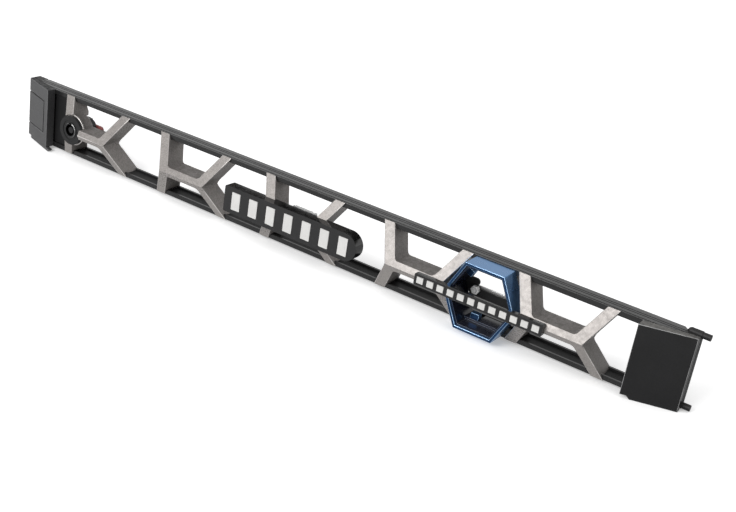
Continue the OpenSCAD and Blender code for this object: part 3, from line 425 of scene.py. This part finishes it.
# The button's dark edge colour is a painted shadow line in the gap around it.
button_plastic = finish("grey_button_plastic", (0.06, 0.06, 0.0615), (0.004, 0.004, 0.004),
                        painted_edge_amount=1.0, grain=1500.0, grain_amount=0.3, rough=0.42,
                        strength=0.4, specular=0.3, crevice_shade=0.1)
screw_metal = finish("zinc_screw", (0.5, 0.5, 0.51), (0.7, 0.7, 0.7), grain=3000.0,
                     rough=0.3, metal=1.0)
latch_metal = finish("zinc_latch_plate", (0.5, 0.5, 0.51), (0.7, 0.7, 0.7), grain=1500.0,
                     line_amount=0.1, rough=0.34, metal=1.0)
spring_wire = finish("bright_spring_wire", (0.6, 0.6, 0.61), (0.75, 0.75, 0.75),
                     grain=4000.0, rough=0.22, metal=1.0)
dress("left_base", 0.0002, base_plastic)
dress("left_cover", 0.0004, cover_plastic, steps=3)
dress("release_button", 0.0003, button_plastic)
dress("left_cover_screws", 0.0001, screw_metal)
dress("latch_slide", 0.00012, latch_metal)
spring = dress("latch_spring", 0.00002, spring_wire, steps=1, angle=80.0)
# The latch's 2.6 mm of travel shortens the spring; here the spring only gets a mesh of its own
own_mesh(spring)

# ---- key lock ----
# A black zinc lock body with a dark plated core, held by a nut. A red enamelled cam is
# screwed to the back of the core and turns with it.
# The lock's bevels carry a painted highlight.
lock_coat = finish("black_lock_coat", (0.010, 0.010, 0.0105), (0.3, 0.3, 0.3),
                   painted_edge_amount=0.7, grain=1500.0, grain_amount=0.35, rough=0.32, metal=0.05,
                   painted_edge_metal=0.4, strength=0.3, coat=0.05, specular=0.3)
core_plate = finish("dark_plated_core", (0.05, 0.05, 0.052), (0.5, 0.5, 0.5),
                    painted_edge_amount=0.8, grain=1800.0, grain_amount=0.05, rough=0.2, metal=1.0,
                    strength=0.05)
enamel = finish("red_enamel", (0.26, 0.075, 0.07), (0.5, 0.3, 0.28), painted_edge_amount=0.3,
                grain=1500.0, rough=0.4, strength=0.1)
dress("lock_body", 0.00035, lock_coat, steps=3)
dress("lock_nut", 0.0002, lock_coat)
dress("lock_core", 0.0002, core_plate)
dress("lock_cam", 0.00015, enamel)
dress("cam_screw", 0.0001, screw_metal)

# ---- badge ----
# A gloss black moulding, seated over the middle casting and held by a light metal
# angle. Seven plain satin bars sit in pockets on its face.
# The badge's bevels carry a painted highlight.
badge_plastic = finish("black_badge_plastic", (0.005, 0.005, 0.0055), (0.12, 0.12, 0.122),
                       painted_edge_amount=0.7, grain=1800.0, rough=0.14, strength=0.06, coat=0.4,
                       specular=0.35)
pale_inlay = finish("pale_satin_inlay", (0.62, 0.615, 0.6), (0.72, 0.71, 0.7), grain=2000.0,
                    grain_amount=0.06, rough=0.4, metal=0.1, strength=0.1)
angle_metal = finish("bare_angle", (0.55, 0.55, 0.55), (0.7, 0.7, 0.7), grain=1600.0,
                     line_amount=0.15, rough=0.35, metal=1.0)
dress("badge_block", 0.0002, badge_plastic, steps=3)
dress("badge_bracket", 0.0001, angle_metal)
dress("badge_screws", 0.0001, screw_metal)


def row_tree():
    """Geometry nodes that set equal bars out in a row. Each bar is a rounded rectangle
    of its own width, height and depth, filled and drawn out towards the front."""
    tree = bpy.data.node_groups.new("bar_row", "GeometryNodeTree")
    tree.interface.new_socket(name="Geometry", in_out="INPUT", socket_type="NodeSocketGeometry")
    for name, kind in (("Count", "NodeSocketInt"), ("First", "NodeSocketVector"),
                       ("Step", "NodeSocketFloat"), ("Width", "NodeSocketFloat"),
                       ("Height", "NodeSocketFloat"), ("Depth", "NodeSocketFloat"),
                       ("Corner", "NodeSocketFloat"), ("Finish", "NodeSocketMaterial")):
        tree.interface.new_socket(name=name, in_out="INPUT", socket_type=kind)
    tree.interface.new_socket(name="Geometry", in_out="OUTPUT", socket_type="NodeSocketGeometry")
    add, link = tree.nodes.new, tree.links.new
    asked = add("NodeGroupInput").outputs
    outline = add("GeometryNodeCurvePrimitiveQuadrilateral")
    link(asked["Width"], outline.inputs["Width"])
    link(asked["Height"], outline.inputs["Height"])
    corners = add("GeometryNodeFilletCurve")
    corners.mode = "POLY"
    corners.inputs["Count"].default_value = 4
    link(outline.outputs["Curve"], corners.inputs["Curve"])
    link(asked["Corner"], corners.inputs["Radius"])
    filled = add("GeometryNodeFillCurve")
    filled.mode = "NGONS"
    link(corners.outputs["Curve"], filled.inputs["Curve"])
    drawn = add("GeometryNodeExtrudeMesh")
    link(filled.outputs["Mesh"], drawn.inputs["Mesh"])
    link(asked["Depth"], drawn.inputs["Offset Scale"])
    drawn.inputs["Individual"].default_value = False
    back_face = add("GeometryNodeFlipFaces")
    link(filled.outputs["Mesh"], back_face.inputs["Mesh"])
    closed = add("GeometryNodeJoinGeometry")
    link(drawn.outputs["Mesh"], closed.inputs["Geometry"])
    link(back_face.outputs["Mesh"], closed.inputs["Geometry"])
    welded = add("GeometryNodeMergeByDistance")
    welded.inputs["Distance"].default_value = 1e-6
    link(closed.outputs["Geometry"], welded.inputs["Geometry"])
    upright = add("GeometryNodeTransform")
    upright.inputs["Rotation"].default_value = (math.radians(90.0), 0.0, 0.0)
    link(welded.outputs["Geometry"], upright.inputs["Geometry"])
    stride = add("ShaderNodeCombineXYZ")
    link(asked["Step"], stride.inputs["X"])
    line = add("GeometryNodeMeshLine")
    link(asked["Count"], line.inputs["Count"])
    link(asked["First"], line.inputs["Start Location"])
    link(stride.outputs["Vector"], line.inputs["Offset"])
    placed = add("GeometryNodeInstanceOnPoints")
    link(line.outputs["Mesh"], placed.inputs["Points"])
    link(upright.outputs["Geometry"], placed.inputs["Instance"])
    real = add("GeometryNodeRealizeInstances")
    link(placed.outputs["Instances"], real.inputs["Geometry"])
    painted = add("GeometryNodeSetMaterial")
    link(real.outputs["Geometry"], painted.inputs["Geometry"])
    link(asked["Finish"], painted.inputs["Material"])
    link(painted.outputs["Geometry"], add("NodeGroupOutput").inputs["Geometry"])
    return tree


def bar_row(node, tree, count, width, corner, material):
    """Stands in for a CAD node of equal bars with the row made by the tree."""
    low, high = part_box(node)
    step = (high[0] - low[0] - width) / (count - 1)
    maker = bpy.data.objects.new(node + "_row", bpy.data.meshes.new(node + "_row"))
    bpy.context.scene.collection.objects.link(maker)
    nodes = maker.modifiers.new("row", "NODES")
    nodes.node_group = tree
    asked = {"Count": count, "First": (low[0] + width / 2, high[1], (low[2] + high[2]) / 2),
             "Step": step, "Width": width, "Height": high[2] - low[2],
             "Depth": high[1] - low[1], "Corner": corner, "Finish": material}
    for item in tree.interface.items_tree:
        if item.in_out == "INPUT" and item.name in asked:
            nodes[item.identifier] = asked[item.name]
    made = baked_mesh(maker, node + "_finished")
    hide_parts(node)
    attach(made, frame["nodes"][node]["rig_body"])


bars = row_tree()
bar_row("badge_inlay", bars, 7, 0.0062, 0.0003, pale_inlay)

# ---- hexagon insert ----
# A blue moulding with a satin metallic look, pushed between the last two castings. A
# black carrier inside it clips behind the rails. A black bracket with a round-ended lug
# is clamped behind it by a hexagon-headed screw and a steel strap.
# The insert's bevels carry a painted highlight.
blue_plastic = finish("blue_insert", (0.1, 0.225, 0.43), (0.4, 0.56, 0.75),
                      painted_edge_amount=0.7, grain=2200.0, rough=0.26, metal=0.8, strength=0.1,
                      crevice_depth=0.02)
# A darker copy of the blue for the faces that look forwards: painted shade on the rim's front.
blue_rim_shaded = finish("blue_insert_shaded_rim", (0.018, 0.05, 0.12), (0.3, 0.46, 0.68),
                  painted_edge_amount=0.75, grain=2200.0, rough=0.26, metal=0.9, strength=0.1,
                  crevice_depth=0.02)
liner_plastic = finish("black_liner_plastic", (0.006, 0.008, 0.02), (0.03, 0.06, 0.12),
                       grain=2200.0, rough=0.22, strength=0.08, specular=0.35)
stud_metal = finish("plated_stud", (0.85, 0.85, 0.84), (0.95, 0.95, 0.94), grain=1500.0,
                    rough=0.5, metal=0.4)
dress("hex_insert", 0.0003, blue_plastic, inside=lambda c, n: n.y < -0.95,
      second=blue_rim_shaded)
dress("hex_liner", 0.0002, liner_plastic)
dress("hex_bracket", 0.00015, base_plastic)
dress("hex_strap", 0.0001, angle_metal)
dress("hex_stud", 0.00015, stud_metal)

# ---- accent bar ----
# A slim gloss black moulding that runs across the front of the hexagon. Twelve plain
# pale dashes are pressed into pockets along its face.
dress("accent_bar", 0.00018, badge_plastic, clamp=False)
bar_row("bar_inlay", bars, 12, 0.004, 0.00025, pale_inlay)

# ---- right end ----
# A black moulded base closes the rails' ends and carries the two locating pegs. The cap
# over it is black plastic with a fine texture, held by two screws from behind.
# The cap's bevels carry a painted highlight, and the light colour on its faces that look up is a
# painted highlight on its top.
right_plastic = finish("black_cap_plastic", (0.006, 0.006, 0.0065), (0.6, 0.6, 0.603),
                       painted_edge_amount=0.6, grain=1500.0, grain_amount=0.4, dust_and_top_shade=0.75, rough=0.34,
                       painted_edge_metal=0.5, strength=0.4, specular=0.3)
dress("right_base", 0.0002, base_plastic)
dress("right_cover", 0.00032, right_plastic, steps=3, clamp=False)
dress("right_cover_screws", 0.0001, screw_metal)

# ---- floor, backdrop and lamps ----
# A seamless white table. It shows white to the camera and in reflections. Close under the bezel
# its glow is dimmed as a painted shadow, on top of the shadow the lamps cast.
floor_mesh = bpy.data.meshes.new("floor")
reach = 6.0
corners = [(-reach, -reach, 0), (reach, -reach, 0), (reach, reach, 0), (-reach, reach, 0)]
floor_mesh.from_pydata(corners, [], [(0, 1, 2, 3)])
floor = bpy.data.objects.new("floor", floor_mesh)
bpy.context.scene.collection.objects.link(floor)
floor_material = bpy.data.materials.new("white_table")
floor_material.use_nodes = True
floor_tree = floor_material.node_tree
floor_tree.nodes.remove(floor_tree.nodes["Principled BSDF"])
floor_diffuse = floor_tree.nodes.new("ShaderNodeBsdfDiffuse")
floor_diffuse.inputs["Color"].default_value = (0.8, 0.8, 0.8, 1.0)
# The table glows for the camera, dimmed close under the bezel as a painted shadow, and a little
# in reflections
floor_glow = floor_tree.nodes.new("ShaderNodeEmission")
floor_path = floor_tree.nodes.new("ShaderNodeLightPath")
under_bezel_occlusion = floor_tree.nodes.new("ShaderNodeAmbientOcclusion")
under_bezel_occlusion.inputs["Distance"].default_value = 0.05
glow_with_painted_shadow = ranged(floor_tree, under_bezel_occlusion.outputs["AO"], 0.3, 1.0, 0.35, 0.9)
to_camera = maths(floor_tree, "MULTIPLY", floor_path.outputs["Is Camera Ray"], glow_with_painted_shadow)
to_gloss = maths(floor_tree, "MULTIPLY", floor_path.outputs["Is Glossy Ray"], 0.27)
glow = maths(floor_tree, "ADD", to_camera, to_gloss)
floor_tree.links.new(glow, floor_glow.inputs["Strength"])
floor_sum = floor_tree.nodes.new("ShaderNodeAddShader")
floor_tree.links.new(floor_diffuse.outputs[0], floor_sum.inputs[0])
floor_tree.links.new(floor_glow.outputs[0], floor_sum.inputs[1])
floor_tree.links.new(floor_sum.outputs[0], floor_tree.nodes["Material Output"].inputs["Surface"])
floor_mesh.materials.append(floor_material)

# The world is white to the camera and in reflections, and lights the bezel only faintly
world = bpy.data.worlds.new("studio")
bpy.context.scene.world = world
world.use_nodes = True
world_tree = world.node_tree
back = world_tree.nodes["Background"]
back.inputs["Color"].default_value = (1.0, 1.0, 1.0, 1.0)
world_path = world_tree.nodes.new("ShaderNodeLightPath")
seen = maths(world_tree, "MAXIMUM", world_path.outputs["Is Camera Ray"],
             world_path.outputs["Is Glossy Ray"])
seen = maths(world_tree, "MAXIMUM", seen, world_path.outputs["Is Transmission Ray"])
world_tree.links.new(ranged(world_tree, seen, 0.0, 1.0, 0.14, 1.0), back.inputs["Strength"])


def softbox(name, place, aim, size, power):
    """One rectangular soft lamp, turned towards a point."""
    lamp = bpy.data.lights.new(name, "AREA")
    lamp.shape = "RECTANGLE"
    lamp.size, lamp.size_y = size
    lamp.energy = power
    made = bpy.data.objects.new(name, lamp)
    facing = (Vector(aim) - Vector(place)).to_track_quat("-Z", "Y")
    made.matrix_world = facing.to_matrix().to_4x4()
    made.matrix_world.translation = Vector(place)
    bpy.context.scene.collection.objects.link(made)


softbox("key_lamp", (-0.17, -0.82, 0.53), (0.08, 0.0, 0.02), (0.62, 0.42), 8.6)
softbox("front_lamp", (0.5, -1.4, 0.12), (0.0, 0.0, 0.02), (1.0, 0.5), 6.5)

bpy.context.scene.view_settings.view_transform = "Standard"
